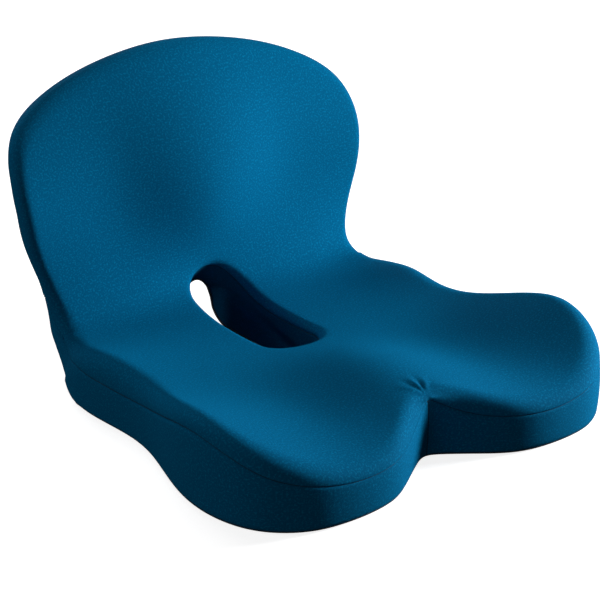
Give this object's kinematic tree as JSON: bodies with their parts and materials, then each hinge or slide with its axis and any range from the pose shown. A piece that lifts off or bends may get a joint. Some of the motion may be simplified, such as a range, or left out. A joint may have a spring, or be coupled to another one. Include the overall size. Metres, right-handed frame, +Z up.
{
  "type": "seat cushion",
  "caption": "L-shaped foam seat cushion with dished thigh lobes, an open tailbone slot, a curved lumbar back and a zipped knit cover.",
  "frame": {"origin": "centre of the footprint, on the surface the cushion rests on", "axes": "+X across the seat, +Y from the front lobes back towards the lumbar rest, +Z up"},
  "size_m": [0.4536, 0.4968, 0.311],
  "materials": {
    "knit": "fine matte jersey knit with a light heather",
    "lining": "dark knit lining",
    "base_fabric": "charcoal non-slip fabric with raised dots",
    "foam": "open-cell memory foam",
    "zip_tape": "woven herringbone tape",
    "zip_metal": "black lacquered zip metal",
    "zip_teeth": "moulded zip teeth",
    "label": "plain white woven label"
  },
  "bodies": {
    "seat": {"seat_foam": "foam", "seat_top_panel": "knit", "left_side_band": "knit", "right_side_band": "knit", "seat_slot_lining": "lining", "base_panel": "base_fabric"},
    "back": {"back_foam": "foam", "back_front_panel": "knit", "back_slot_lining": "lining", "rear_panel": "base_fabric", "upper_zip_tape": "zip_tape", "lower_zip_tape": "zip_tape", "upper_zip_teeth": "zip_teeth", "lower_zip_teeth": "zip_teeth", "zip_stops": "zip_metal", "care_label": "label"},
    "slider": {"zip_slider": "zip_metal"},
    "pull": {"zip_pull": "zip_metal"}
  },
  "joints": [
    {"name": "back_flex", "type": "hinge", "parent": "seat", "child": "back", "pos_m": [0, 0.1595, 0.05], "axis": [-1, 0, 0], "range_deg": [-1, 8], "stiffness_Nm_per_rad": 12},
    {"name": "zip_run", "type": "slide", "parent": "back", "child": "slider", "axis": [-1, 0, 0], "range_m": [0, 0.246]},
    {"name": "pull_swing", "type": "hinge", "parent": "slider", "child": "pull", "pos_m": [0.123, 0.1969, 0.115], "axis": [1, 0, 0], "range_deg": [0, 150]}
  ]
}
